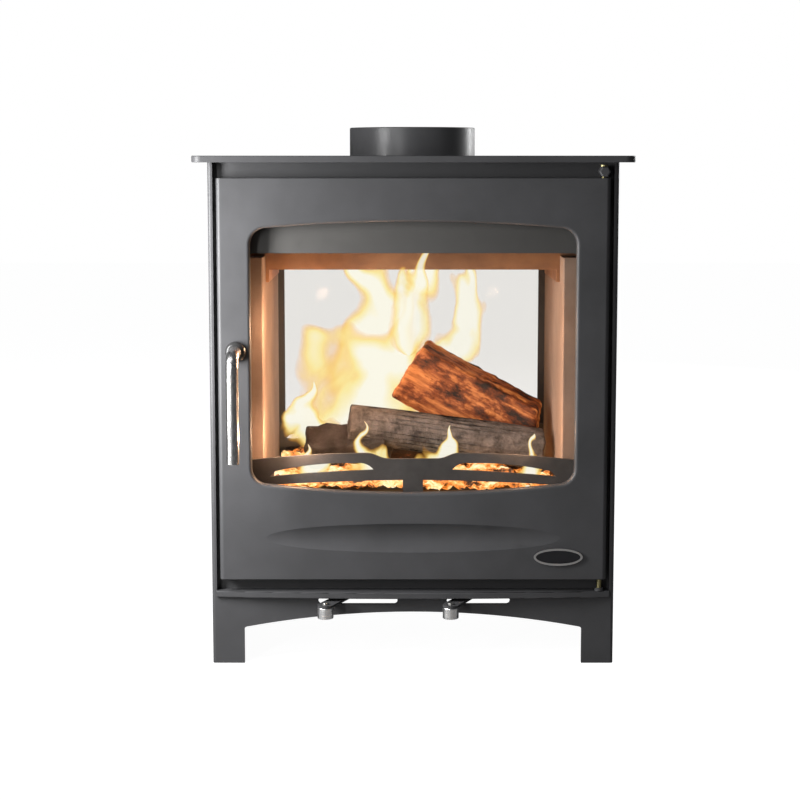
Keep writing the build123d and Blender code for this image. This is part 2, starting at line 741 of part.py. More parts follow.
    with BuildPart() as glass_gasket:
        with BuildSketch(wall.offset(glass_front)):
            with Locations((0, glass_middle)):
                Rectangle(2 * glass_half_width - 1, glass_height - 1)
                gasket_hole = 2 * glass_gasket_width + 1
                Rectangle(2 * glass_half_width - gasket_hole, glass_height - gasket_hole, mode=Mode.SUBTRACT)
        extrude(amount=glass_gasket_thickness)
    glass_gasket.part.label = f"{side}_glass_gasket"
    export_step(glass_gasket.part, f"parts/{side}_glass_gasket.step")

    # Spring clips: each has its foot on the door's skin and its tongue on the glass. A seat is on
    # the glass's edge, with x pointing outwards over the skin.
    clip_seats = []
    for seat_z in (glass_middle - glass_height / 4, glass_middle + glass_height / 3.2):
        clip_seats.append((glass_half_width, seat_z, wall.x_dir))
        clip_seats.append((-glass_half_width, seat_z, -wall.x_dir))
    for seat_x in (-glass_half_width / 2, glass_half_width / 2):
        clip_seats.append((seat_x, glass_top, Vector(0, 0, 1)))
        clip_seats.append((seat_x, glass_bottom, Vector(0, 0, -1)))
    clip_planes = [
        Plane(wall.from_local_coords((seat_x, seat_z, skin_back)), x_dir=outward, z_dir=-wall.z_dir)
        for seat_x, seat_z, outward in clip_seats
    ]
    clip_rise = skin_back - glass_back
    with BuildPart() as glass_clips:
        with Locations(*clip_planes):
            with Locations((clip_gap + clip_foot / 2, 0, clip_sheet / 2)):
                Box(clip_foot, clip_width, clip_sheet)
            with Locations((clip_gap + clip_sheet / 2, 0, (clip_rise + clip_sheet) / 2)):
                Box(clip_sheet, clip_width, clip_rise + clip_sheet)
            with Locations(((clip_gap + clip_sheet - clip_tongue) / 2, 0, clip_rise + clip_sheet / 2)):
                Box(clip_gap + clip_sheet + clip_tongue, clip_width, clip_sheet)
            screw_x = clip_gap + (clip_foot + clip_sheet) / 2
            with Locations((screw_x, 0, clip_sheet / 2)):
                Cylinder(screw_radius, clip_sheet + 1, mode=Mode.SUBTRACT)
    glass_clips.part.label = f"{side}_glass_clips"
    export_step(glass_clips.part, f"parts/{side}_glass_clips.step")

    with BuildPart() as glass_clip_screws:
        with Locations(*clip_planes):
            with Locations((screw_x, 0, clip_sheet + screw_head_height / 2)):
                Cylinder(screw_head_radius, screw_head_height)
                Box(2 * screw_head_radius, 0.9, screw_head_height / 2,
                    align=(Align.CENTER, Align.CENTER, Align.MIN), mode=Mode.SUBTRACT)
            with Locations((screw_x, 0, clip_sheet / 2)):
                Cylinder(screw_radius, clip_sheet)
    glass_clip_screws.part.label = f"{side}_glass_clip_screws"
    export_step(glass_clip_screws.part, f"parts/{side}_glass_clip_screws.step")

with BuildPart() as badge:
    with BuildSketch(sides["front"].offset(door_face - badge_sunk)):
        with Locations((badge_x, door_bottom + badge_above_bottom)):
            Ellipse(badge_width / 2, badge_height / 2)
    extrude(amount=badge_sunk + badge_thickness)
    with BuildSketch(sides["front"].offset(door_face + badge_thickness)):
        with Locations((badge_x, door_bottom + badge_above_bottom)):
            Ellipse(badge_width / 2 - badge_rim, badge_height / 2 - badge_rim)
    extrude(amount=-badge_thickness / 2, mode=Mode.SUBTRACT)
badge.part.label = "badge"
export_step(badge.part, "parts/badge.step")

# ---------------------------------------------------------------- hinges, handles and latches
for side, wall in sides.items():
    pin_x, pin_y, _ = wall.from_local_coords((hinge_x, 0, hinge_out))
    with BuildPart() as hinge_lugs:
        with BuildSketch(wall.offset(frame_face)):
            with Locations((hinge_x, lug_z)):
                RegularPolygon(lug_width / 2, 6, major_radius=False)
        extrude(amount=lug_reach)
        chamfer(outermost(hinge_lugs, wall).edges(), lug_chamfer)
        with BuildSketch(Plane(origin=(pin_x, pin_y, base_top))):
            Circle(washer_radius)
        extrude(amount=washer_height)
        with BuildSketch(Plane(origin=(pin_x, pin_y, base_top))):
            Circle(pin_radius)
        extrude(amount=lug_z + lug_width - base_top, mode=Mode.SUBTRACT)
    hinge_lugs.part.label = f"{side}_hinge_lugs"
    export_step(hinge_lugs.part, f"parts/{side}_hinge_lugs.step")

    with BuildPart() as hinge_pins:
        lower_top = door_bottom + pin_depth - pin_end_gap
        upper_bottom = door_top - pin_depth + pin_end_gap
        upper_top = lug_z + lug_width / 2
        with BuildSketch(Plane(origin=(pin_x, pin_y, base_top))):
            Circle(pin_radius)
        extrude(amount=lower_top - base_top)
        with BuildSketch(Plane(origin=(pin_x, pin_y, upper_bottom))):
            Circle(pin_radius)
        extrude(amount=upper_top - upper_bottom)
        with BuildSketch(Plane(origin=(pin_x, pin_y, upper_top))):
            Circle(pin_head_radius)
        extrude(amount=pin_head_height)
    hinge_pins.part.label = f"{side}_hinge_pins"
    export_step(hinge_pins.part, f"parts/{side}_hinge_pins.step")

    boss_back = door_face + boss_gap
    boss_front = boss_back + boss_height
    cam_front = frame_inner - cam_behind_frame
    cam_back = cam_front - cam_thickness
    with BuildPart() as handle_boss:
        with BuildSketch(wall.offset(boss_back)):
            with Locations((spindle_x, spindle_z)):
                Circle(boss_radius)
        extrude(amount=boss_height)
        fillet(outermost(handle_boss, wall).edges(), boss_dome)
        with BuildSketch(wall.offset(boss_back)):
            with Locations((spindle_x, spindle_z)):
                Circle(spindle_radius)
        extrude(amount=boss_height, mode=Mode.SUBTRACT)
    handle_boss.part.label = f"{side}_handle_boss"
    export_step(handle_boss.part, f"parts/{side}_handle_boss.step")

    with BuildPart() as handle_bar:
        with BuildLine() as bar_line:
            FilletPolyline(
                wall.from_local_coords((spindle_x, spindle_z, boss_front)),
                wall.from_local_coords((spindle_x, spindle_z, door_face + bar_reach)),
                wall.from_local_coords((spindle_x, spindle_z - bar_drop, door_face + bar_reach)),
                radius=bar_bend,
            )
        with BuildSketch(wall.offset(boss_front)):
            with Locations((spindle_x, spindle_z)):
                Circle(bar_radius)
        sweep(path=bar_line.line)
        fillet(handle_bar.faces().sort_by(Axis.Z)[0].edges(), bar_end_round)
        with BuildSketch(wall.offset(boss_front)):
            with Locations((spindle_x, spindle_z)):
                Circle(spindle_stub_radius)
        extrude(amount=bar_socket, mode=Mode.SUBTRACT)
    handle_bar.part.label = f"{side}_handle_bar"
    export_step(handle_bar.part, f"parts/{side}_handle_bar.step")

    with BuildPart() as spindle:
        with BuildSketch(wall.offset(cam_front)):
            with Locations((spindle_x, spindle_z)):
                Circle(spindle_radius)
        extrude(amount=boss_front - cam_front)
        with BuildSketch(wall.offset(cam_back - spindle_end)):
            with Locations((spindle_x, spindle_z)):
                Circle(spindle_stub_radius)
        extrude(amount=boss_front + bar_socket - cam_back + spindle_end)
    spindle.part.label = f"{side}_spindle"
    export_step(spindle.part, f"parts/{side}_spindle.step")

    with BuildPart() as latch_cam:
        with BuildSketch(wall.offset(cam_back)):
            with Locations((spindle_x, spindle_z)):
                Circle(cam_hub_radius)
            with Locations((spindle_x, spindle_z + cam_length - cam_nose_radius)):
                Circle(cam_nose_radius)
            make_hull()
            with Locations((spindle_x, spindle_z)):
                Circle(spindle_stub_radius, mode=Mode.SUBTRACT)
        extrude(amount=cam_thickness)
    latch_cam.part.label = f"{side}_latch_cam"
    export_step(latch_cam.part, f"parts/{side}_latch_cam.step")

    with BuildPart() as spindle_nut:
        with BuildSketch(wall.offset(cam_back)):
            with Locations((spindle_x, spindle_z)):
                RegularPolygon(spindle_nut_width / 2, 6, major_radius=False)
                Circle(spindle_stub_radius, mode=Mode.SUBTRACT)
        extrude(amount=-spindle_nut_height)
    spindle_nut.part.label = f"{side}_spindle_nut"
    export_step(spindle_nut.part, f"parts/{side}_spindle_nut.step")

    with BuildPart() as latch_keeper:
        keeper_bottom = spindle_z + cam_length + keeper_gap
        with BuildSketch(wall.offset(frame_inner - keeper_thickness)):
            with Locations((spindle_x, keeper_bottom + keeper_height / 2)):
                Rectangle(keeper_width, keeper_height)
        extrude(amount=keeper_thickness)
    latch_keeper.part.label = f"{side}_latch_keeper"
    export_step(latch_keeper.part, f"parts/{side}_latch_keeper.step")

# ---------------------------------------------------------------- air controls
stud_y = slider_depth - slider_front - stud_from_back
with BuildPart() as slider_studs:
    for knob_x, _, _, _ in controls.values():
        stud_places = [(slider_middle(knob_x) + hand * stud_pitch / 2, stud_y) for hand in (-1, 1)]
        head_top = slider_top - slider_sheet - slider_gap
        with BuildSketch(Plane.XY.offset(head_top)):
            with Locations(*stud_places):
                Circle(stud_radius)
        extrude(amount=base_height - head_top)
        with BuildSketch(Plane.XY.offset(head_top)):
            with Locations(*stud_places):
                Circle(stud_head_radius)
        extrude(amount=-stud_head_height)
slider_studs.part.label = "slider_studs"
export_step(slider_studs.part, "parts/slider_studs.step")

for name, (knob_x, travel, _, _) in controls.items():
    slider_x = slider_middle(knob_x)
    knob_y = -(half_depth + knob_reach)
    root_y = lever_root - slider_front
    root_x = knob_x + (root_y - knob_y) * lever_slant
    track_length = travel + stud_pitch + 2 * (stud_radius + slider_gap)
    slider_length = track_length + 2 * slider_end
    with BuildPart() as slider:
        with BuildSketch(Plane.XY.offset(lever_top)):
            with Locations((slider_x - travel / 2, slider_depth / 2 - slider_front)):
                Rectangle(slider_length, slider_depth)
            with Locations((slider_x - travel / 2, stud_y)):
                SlotOverall(track_length, 2 * (stud_radius + slider_gap), mode=Mode.SUBTRACT)
            with Locations((slider_x - travel / 2, port_from_front - slider_front)):
                with GridLocations(port_pitch, 0, port_count, 1):
                    SlotOverall(port_length, port_width, rotation=90, mode=Mode.SUBTRACT)
        extrude(amount=slider_sheet)
        with BuildSketch(Plane.XY.offset(lever_top)):
            with Locations((knob_x, knob_y)):
                Circle(knob_radius)
            with Locations((root_x, root_y)):
                Circle(lever_width / 2)
            make_hull()
        extrude(amount=-slider_sheet)
        with BuildSketch(Plane.XY.offset(lever_top)):
            with Locations((knob_x, knob_y)):
                Circle(knob_screw_radius)
        extrude(amount=-slider_sheet, mode=Mode.SUBTRACT)
    slider.part.label = f"{name}_slider"
    export_step(slider.part, f"parts/{name}_slider.step")

    lever_bottom = lever_top - slider_sheet
    with BuildPart() as knob:
        with BuildSketch(Plane.XY.offset(lever_bottom - knob_height)):
            with Locations((knob_x, knob_y)):
                Circle(knob_radius)
        extrude(amount=knob_height)
        fillet(knob.edges().filter_by(GeomType.CIRCLE), knob_round)
        with BuildSketch(Plane.XY.offset(lever_bottom)):
            with Locations((knob_x, knob_y)):
                Circle(knob_screw_radius)
        extrude(amount=-knob_screw_depth, mode=Mode.SUBTRACT)
    knob.part.label = f"{name}_knob"
    export_step(knob.part, f"parts/{name}_knob.step")

    with BuildPart() as knob_screw:
        with BuildSketch(Plane.XY.offset(lever_top)):
            with Locations((knob_x, knob_y)):
                Circle(knob_screw_head)
        extrude(amount=screw_head_height)
        with BuildSketch(Plane.XY.offset(lever_top)):
            with Locations((knob_x, knob_y)):
                Circle(knob_screw_radius)
        extrude(amount=-(slider_sheet + knob_screw_depth))
        fillet(knob_screw.faces().sort_by(Axis.Z)[-1].edges(), 0.8)
    knob_screw.part.label = f"{name}_knob_screw"
    export_step(knob_screw.part, f"parts/{name}_knob_screw.step")
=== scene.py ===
import math

import bmesh
import bpy
from mathutils import Matrix, Vector, noise


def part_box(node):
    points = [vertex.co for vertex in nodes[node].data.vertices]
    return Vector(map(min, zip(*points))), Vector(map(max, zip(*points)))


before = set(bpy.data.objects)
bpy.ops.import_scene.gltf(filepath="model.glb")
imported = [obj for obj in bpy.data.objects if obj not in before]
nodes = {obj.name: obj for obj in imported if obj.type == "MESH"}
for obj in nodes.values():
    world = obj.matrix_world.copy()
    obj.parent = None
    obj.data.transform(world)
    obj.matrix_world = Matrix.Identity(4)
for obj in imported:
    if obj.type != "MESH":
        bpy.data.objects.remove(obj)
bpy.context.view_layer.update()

# ---- The studio -------------------------------------------------------------------------------
# A white room with a pale floor. A small soft light stands close to the door's left side, a high
# one lights the front, two narrow ones the collar and a broad one the back. The camera stands
# level with the top plate and looks a little down at the door.
camera_distance = 2.3       # in front of the door
camera_left = 0.016         # of the stove's middle
camera_below_plate = 0.0038
camera_tilt = 7.2           # degrees downwards
front_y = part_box("front_door")[0].y
plate_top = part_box("top_plate")[1].z

camera_data = bpy.data.cameras.new("camera")
camera_data.lens = 85.9
camera_data.sensor_width = 36.0
camera_data.clip_end = 40.0
camera = bpy.data.objects.new("camera", camera_data)
camera.location = (-camera_left, front_y - camera_distance, plate_top - camera_below_plate)
camera.rotation_euler = (math.radians(90.0 - camera_tilt), 0.0, 0.0)
bpy.context.scene.collection.objects.link(camera)
bpy.context.scene.camera = camera
bpy.context.scene.view_settings.view_transform = "Standard"


def soft_light(name, place, target, width, height, power, colour=(1.0, 1.0, 1.0)):
    """A rectangular area light at place, facing target."""
    data = bpy.data.lights.new(name, "AREA")
    data.shape = "RECTANGLE"
    data.size = width
    data.size_y = height
    data.energy = power
    data.color = colour
    lamp = bpy.data.objects.new(name, data)
    lamp.location = place
    lamp.rotation_euler = (Vector(target) - Vector(place)).to_track_quat("-Z", "Y").to_euler()
    bpy.context.scene.collection.objects.link(lamp)
    return lamp


stove_middle = (0.0, 0.0, 0.34)
collar_low, collar_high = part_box("flue_collar")
collar_middle = (collar_low + collar_high) / 2
door_left = (-0.2, front_y, 0.42)
key = soft_light("key_light", (-0.50, front_y - 0.21, 0.46), door_left, 0.12, 0.42, 9.5)
key.visible_camera = False
soft_light("strip_light", (-1.15, -2.45, 0.9), collar_middle, 0.14, 1.2, 18.0)
soft_light("rim_light", (1.0, 0.75, 0.95), collar_middle, 0.25, 0.7, 10.0)
soft_light("high_light", (-0.5, -1.2, 2.2), stove_middle, 1.2, 0.8, 4.0)
soft_light("rear_light", (1.6, 2.4, 1.2), stove_middle, 1.8, 1.8, 20.0)

world = bpy.data.worlds.new("white_room")
bpy.context.scene.world = world
world.use_nodes = True
room = world.node_tree
seen = room.nodes["Background"]
seen.inputs["Color"].default_value = (1.0, 1.0, 1.0, 1.0)
seen.inputs["Strength"].default_value = 1.0
shed = room.nodes.new("ShaderNodeBackground")
shed.inputs["Color"].default_value = (0.94, 0.96, 1.0, 1.0)
shed.inputs["Strength"].default_value = 0.07
ray = room.nodes.new("ShaderNodeLightPath")
either = room.nodes.new("ShaderNodeMixShader")
room.links.new(ray.outputs["Is Camera Ray"], either.inputs["Fac"])
room.links.new(shed.outputs["Background"], either.inputs[1])
room.links.new(seen.outputs["Background"], either.inputs[2])
room.links.new(either.outputs["Shader"], room.nodes["World Output"].inputs["Surface"])

floor_mesh = bpy.data.meshes.new("floor")
sheet = bmesh.new()
bmesh.ops.create_grid(sheet, x_segments=1, y_segments=1, size=9.0)
sheet.to_mesh(floor_mesh)
sheet.free()
floor = bpy.data.objects.new("floor", floor_mesh)
bpy.context.scene.collection.objects.link(floor)
floor_paint = bpy.data.materials.new("pale_floor")
floor_paint.use_nodes = True
tree = floor_paint.node_tree
floor_shader = tree.nodes["Principled BSDF"]
floor_shader.inputs["Base Color"].default_value = (0.22, 0.22, 0.22, 1.0)
floor_shader.inputs["Roughness"].default_value = 0.8
floor_shader.inputs["Emission Color"].default_value = (1.0, 1.0, 1.0, 1.0)
floor_ray = tree.nodes.new("ShaderNodeLightPath")
floor_glow = tree.nodes.new("ShaderNodeMapRange")
floor_glow.inputs["To Min"].default_value = 0.03
floor_glow.inputs["To Max"].default_value = 0.97
tree.links.new(floor_ray.outputs["Is Camera Ray"], floor_glow.inputs["Value"])
tree.links.new(floor_glow.outputs["Result"], floor_shader.inputs["Emission Strength"])
floor_mesh.materials.append(floor_paint)

# ---- Body shell -------------------------------------------------------------------------------
# Laser-cut mild steel plate, 6 and 8 mm, welded into a box and sprayed with heat-resistant stove
# paint, which dries to a satin charcoal with a very fine sandy grain.


def plain_material(name, values):
    """A material with one Principled shader, its even values set on the shader's own sockets."""
    made = bpy.data.materials.new(name)
    made.use_nodes = True
    shader = made.node_tree.nodes["Principled BSDF"]
    for socket, value in values.items():
        shader.inputs[socket].default_value = value
    return made


def grain(made, scale, stretch=(1.0, 1.0, 1.0), detail=5.0, roughness=0.6):
    """A cloudy pattern fixed to the piece, with so many grains to the metre; its Fac socket."""
    tree = made.node_tree
    place = tree.nodes.new("ShaderNodeTexCoord")
    drawn = tree.nodes.new("ShaderNodeMapping")
    drawn.inputs["Scale"].default_value = stretch
    cloud = tree.nodes.new("ShaderNodeTexNoise")
    cloud.inputs["Scale"].default_value = scale
    cloud.inputs["Detail"].default_value = detail
    cloud.inputs["Roughness"].default_value = roughness
    tree.links.new(place.outputs["Object"], drawn.inputs["Vector"])
    tree.links.new(drawn.outputs["Vector"], cloud.inputs["Vector"])
    return cloud.outputs["Fac"]


def tinted(tree, pattern, stops):
    """Turns a pattern into colours; stops are (place from 0 to 1, colour)."""
    ramp = tree.nodes.new("ShaderNodeValToRGB")
    elements = ramp.color_ramp.elements
    while len(elements) < len(stops):
        elements.new(0.5)
    for element, (place, colour) in zip(elements, stops):
        element.position = place
        element.color = (*colour, 1.0)
    tree.links.new(pattern, ramp.inputs["Fac"])
    return ramp.outputs["Color"]


def shades(made, pattern, stops, socket="Base Color"):
    """Colours a socket of the shader by a pattern."""
    tree = made.node_tree
    colour = tinted(tree, pattern, stops)
    tree.links.new(colour, tree.nodes["Principled BSDF"].inputs[socket])


def spread(made, pattern, socket, low, high):
    """Varies a number on the shader between low and high by a pattern."""
    tree = made.node_tree
    fit = tree.nodes.new("ShaderNodeMapRange")
    fit.inputs["From Min"].default_value = 0.3
    fit.inputs["From Max"].default_value = 0.7
    fit.inputs["To Min"].default_value = low
    fit.inputs["To Max"].default_value = high
    tree.links.new(pattern, fit.inputs["Value"])
    tree.links.new(fit.outputs["Result"], tree.nodes["Principled BSDF"].inputs[socket])


def relief(made, pattern, depth):
    """Raises the surface by a pattern, depth in metres, over any relief that it already has."""
    tree = made.node_tree
    normal = tree.nodes["Principled BSDF"].inputs["Normal"]
    bump = tree.nodes.new("ShaderNodeBump")
    bump.inputs["Distance"].default_value = depth
    bump.inputs["Strength"].default_value = 1.0
    if normal.links:
        tree.links.new(normal.links[0].from_socket, bump.inputs["Normal"])
    tree.links.new(pattern, bump.inputs["Height"])
    tree.links.new(bump.outputs["Normal"], normal)


def dress(made, *names):
    """Gives CAD nodes a material."""
    for name in names:
        for slot in nodes[name].material_slots:
            slot.material = made


def stove_paint(name, dark, light, smooth, rough, sand):
    """Satin stove paint: a slightly mottled charcoal with a fine sandy grain."""
    made = plain_material(name, {"IOR": 1.5, "Specular IOR Level": 0.32})
    mottle = grain(made, 14.0)
    shades(made, mottle, [(0.3, dark), (0.7, light)])
    spread(made, grain(made, 60.0, detail=3.0), "Roughness", smooth, rough)
    relief(made, grain(made, 5.0, detail=1.0), 0.0004)
    relief(made, grain(made, 1900.0, detail=2.0), sand)
    return made


charcoal, pale_charcoal = (0.046, 0.046, 0.048), (0.058, 0.058, 0.061)
fine_sand = 0.00004
panel_paint = stove_paint("panel_paint", charcoal, pale_charcoal, 0.44, 0.52, fine_sand)
dress(
    panel_paint,
    "top_plate", "left_side_panel", "right_side_panel", "base_plate", "front_apron", "rear_apron",
)

# ---- Door frames ------------------------------------------------------------------------------
# Two flat 6 mm plates that close the ends of the body round the fire openings. Over each
# opening a paler grey band is painted into the paint: a painted highlight.
bricks_below_opening = 0.007
opening_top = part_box("right_firebricks")[1].z + bricks_below_opening
highlight_below_opening_top = 0.02
highlight_above_opening_top = 0.09


def across(made, axis, start, end):
    """Runs from 0 to 1 between two places on one axis of the stove; its Result socket."""
    tree = made.node_tree
    place = tree.nodes.new("ShaderNodeTexCoord")
    axes = tree.nodes.new("ShaderNodeSeparateXYZ")
    tree.links.new(place.outputs["Object"], axes.inputs["Vector"])
    reach = tree.nodes.new("ShaderNodeMapRange")
    reach.inputs["From Min"].default_value = start
    reach.inputs["From Max"].default_value = end
    tree.links.new(axes.outputs[axis], reach.inputs["Value"])
    return reach.outputs["Result"]


frame_paint = plain_material("frame_paint_with_painted_highlight", {"IOR": 1.5})
height = across(
    frame_paint, "Z", opening_top - highlight_below_opening_top, opening_top + highlight_above_opening_top,
)
# Painted highlight: the frame paint turns a paler grey in a band just over each opening.
frame_grey, painted_highlight_grey = (0.04, 0.04, 0.042), (0.072, 0.071, 0.071)
shades(frame_paint, height, [(0.0, frame_grey), (0.18, painted_highlight_grey), (0.58, painted_highlight_grey), (0.70, frame_grey)])
spread(frame_paint, grain(frame_paint, 60.0, detail=3.0), "Roughness", 0.45, 0.6)
relief(frame_paint, grain(frame_paint, 1900.0, detail=2.0), fine_sand)
dress(frame_paint, "front_frame", "rear_frame")

# ---- Inner steelwork --------------------------------------------------------------------------
# Firebox walls, hearth, ash pan with its runners, air wash channels and latch keepers: cut and
# folded mild steel, left bare, which the heat of the fire has dulled to brown.
brown, pale_brown = (0.05, 0.043, 0.038), (0.10, 0.085, 0.072)
scale_depth = 0.00008
inner_steel = stove_paint("heat_dulled_steel", brown, pale_brown, 0.55, 0.8, scale_depth)
dress(
    inner_steel,
    "left_firebox_wall", "right_firebox_wall", "hearth_plate", "ash_pan", "ash_pan_runners",
    "retainer_brackets", "front_airwash_channel", "rear_airwash_channel",
    "front_latch_keeper", "rear_latch_keeper",
)

# ---- Flue collar ------------------------------------------------------------------------------
# A cast iron ring, turned smooth on the outside and painted. Three plated socket-head bolts, sunk
# in a shelf round its inside, hold it to the top plate.
grey, pale_grey = (0.080, 0.080, 0.083), (0.100, 0.100, 0.104)
coarse_sand = 0.00005
collar_paint = stove_paint("collar_paint", grey, pale_grey, 0.32, 0.38, coarse_sand)
dress(collar_paint, "flue_collar")

zinc = plain_material("plated_steel", {"Metallic": 1.0})
shades(zinc, grain(zinc, 90.0), [(0.3, (0.42, 0.42, 0.41)), (0.7, (0.58, 0.57, 0.54))])
spread(zinc, grain(zinc, 400.0), "Roughness", 0.25, 0.45)
dress(zinc, "collar_bolts")

# ---- Firebox ----------------------------------------------------------------------------------
# Buff firebricks, mottled by smoke, stand against the side walls. The baffle over them is plain
# folded steel, tinted by heat, and the grate and the log retainers are raw cast iron.
firebrick = plain_material("firebrick", {})
shades(firebrick, grain(firebrick, 9.0), [(0.3, (0.18, 0.125, 0.092)), (0.7, (0.28, 0.20, 0.155))])
spread(firebrick, grain(firebrick, 200.0), "Roughness", 0.7, 0.95)
relief(firebrick, grain(firebrick, 500.0, detail=4.0), 0.0003)
relief(firebrick, grain(firebrick, 40.0), 0.0008)
dress(firebrick, "left_firebricks", "right_firebricks")

tinted_steel = plain_material("heat_tinted_steel", {"Metallic": 0.6})
straw_stops = [(0.3, (0.20, 0.10, 0.06)), (0.7, (0.42, 0.22, 0.11))]
shades(tinted_steel, grain(tinted_steel, 12.0), straw_stops)
spread(tinted_steel, grain(tinted_steel, 120.0), "Roughness", 0.4, 0.6)
relief(tinted_steel, grain(tinted_steel, 300.0), 0.0001)
dress(tinted_steel, "baffle_tray")

raw_iron = plain_material("raw_cast_iron", {"Metallic": 0.3})
shades(raw_iron, grain(raw_iron, 30.0), [(0.3, (0.055, 0.053, 0.053)), (0.7, (0.085, 0.08, 0.08))])
spread(raw_iron, grain(raw_iron, 150.0), "Roughness", 0.5, 0.7)
relief(raw_iron, grain(raw_iron, 900.0, detail=3.0), 0.00015)
dress(raw_iron, "grate", "front_log_retainer", "rear_log_retainer")

# ---- Doors ------------------------------------------------------------------------------------
# Cast iron doors, painted like the body, with a bowed window opening and a shallow scoop below
# it; a black glass-fibre rope is pressed into a groove round the back.
cast_paint = stove_paint("cast_paint", charcoal, pale_charcoal, 0.42, 0.50, coarse_sand)
dress(cast_paint, "front_door", "rear_door", "front_hinge_lugs", "rear_hinge_lugs")

rope = plain_material("glass_fibre_rope", {})
shades(rope, grain(rope, 700.0), [(0.3, (0.03, 0.03, 0.03)), (0.7, (0.12, 0.115, 0.11))])
spread(rope, grain(rope, 300.0), "Roughness", 0.8, 1.0)
twist = rope.node_tree.nodes.new("ShaderNodeTexWave")
twist.bands_direction = "DIAGONAL"
twist.inputs["Scale"].default_value = 95.0
twist.inputs["Distortion"].default_value = 1.5
rope_place = rope.node_tree.nodes.new("ShaderNodeTexCoord")
rope.node_tree.links.new(rope_place.outputs["Object"], twist.inputs["Vector"])
relief(rope, twist.outputs["Fac"], 0.0009)
relief(rope, grain(rope, 900.0), 0.0003)
dress(
    rope,
    "front_door_rope_seal", "rear_door_rope_seal", "front_glass_gasket", "rear_glass_gasket",
)

# ---- Door glass -------------------------------------------------------------------------------
# One flat pane of 4 mm heat-resistant ceramic glass in each door, very slightly smoky. It lies on
# a thin gasket, held by screwed clips, and mirrors the room more when seen at a steep angle.
pane = bpy.data.materials.new("ceramic_glass")
pane.use_nodes = True
tree = pane.node_tree
gloss = tree.nodes["Principled BSDF"]
gloss.inputs["Base Color"].default_value = (0.02, 0.02, 0.02, 1.0)
gloss.inputs["Roughness"].default_value = 0.04
clear = tree.nodes.new("ShaderNodeBsdfTransparent")
clear.inputs["Color"].default_value = (0.965, 0.96, 0.95, 1.0)
facing = tree.nodes.new("ShaderNodeLayerWeight")
facing.inputs["Blend"].default_value = 0.5
steep = tree.nodes.new("ShaderNodeMath")
steep.operation = "POWER"
steep.inputs[1].default_value = 5.0
mirrored = tree.nodes.new("ShaderNodeMapRange")
mirrored.inputs["To Min"].default_value = 0.022
both = tree.nodes.new("ShaderNodeMixShader")
tree.links.new(facing.outputs["Facing"], steep.inputs[0])
tree.links.new(steep.outputs["Value"], mirrored.inputs["Value"])
tree.links.new(mirrored.outputs["Result"], both.inputs["Fac"])
tree.links.new(clear.outputs["BSDF"], both.inputs[1])
tree.links.new(gloss.outputs["BSDF"], both.inputs[2])
tree.links.new(both.outputs["Shader"], tree.nodes["Material Output"].inputs["Surface"])
dress(pane, "front_glass", "rear_glass")
dress(
    zinc,
    "front_glass_clips", "rear_glass_clips", "front_glass_clip_screws", "rear_glass_clip_screws",
)

# ---- Handles and hinge pins -------------------------------------------------------------------
# Each handle is one polished stainless bar bent at a right angle, on a dark turned boss. A plated
# spindle joins it to the latch cam behind the door, and the hinge pins are dull brass.
stainless = plain_material("polished_stainless", {"Metallic": 1.0})
drawn_grain = grain(stainless, 120.0, stretch=(12.0, 12.0, 1.0), detail=3.0)
shades(stainless, drawn_grain, [(0.3, (0.62, 0.61, 0.60)), (0.7, (0.74, 0.73, 0.72))])
spread(stainless, drawn_grain, "Roughness", 0.20, 0.30)
dress(stainless, "front_handle_bar", "rear_handle_bar")

black_paint, pale_black = (0.02, 0.02, 0.02), (0.03, 0.03, 0.03)
turned_marks = 0.00002
boss_paint = stove_paint("boss_paint", black_paint, pale_black, 0.18, 0.28, turned_marks)
dress(boss_paint, "front_handle_boss", "rear_handle_boss")
dress(
    zinc,
    "front_spindle", "rear_spindle", "front_spindle_nut", "rear_spindle_nut",
    "front_latch_cam", "rear_latch_cam",
)

brass = plain_material("dull_brass", {"Metallic": 1.0})
shades(brass, grain(brass, 200.0), [(0.3, (0.24, 0.21, 0.10)), (0.7, (0.38, 0.34, 0.18))])
spread(brass, grain(brass, 300.0), "Roughness", 0.35, 0.55)
dress(brass, "front_hinge_pins", "rear_hinge_pins")

# ---- Badge ------------------------------------------------------------------------------------
# A small oval plate of die-cast metal: its sunken middle is painted dark, and the raised rim
# round it is rubbed bright. It carries no lettering.
rim_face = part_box("badge")[0].y
bright_to = 0.0004          # depth behind the rim's face
painted_from = 0.0007
badge_metal = plain_material("badge_metal", {"Metallic": 1.0})
depth = across(badge_metal, "Y", rim_face + bright_to, rim_face + painted_from)
shades(badge_metal, depth, [(0.0, (0.62, 0.61, 0.60)), (1.0, (0.06, 0.06, 0.065))])
spread(badge_metal, grain(badge_metal, 600.0), "Roughness", 0.3, 0.45)
dress(badge_metal, "badge")

# ---- Air controls -----------------------------------------------------------------------------
# Two flat painted levers reach out through slots in the front apron, and each ends in a turned
# knob of bright steel, held by a screw from above.
dress(panel_paint, "primary_air_slider", "airwash_slider")
bright_steel = plain_material("bright_turned_steel", {"Metallic": 1.0})
turned = grain(bright_steel, 900.0, stretch=(0.1, 0.1, 1.0), detail=2.0)
shades(bright_steel, turned, [(0.3, (0.80, 0.80, 0.80)), (0.7, (0.90, 0.90, 0.89))])
spread(bright_steel, turned, "Roughness", 0.25, 0.38)
dress(bright_steel, "primary_air_knob", "airwash_knob")
dress(zinc, "slider_studs", "primary_air_knob_screw", "airwash_knob_screw")

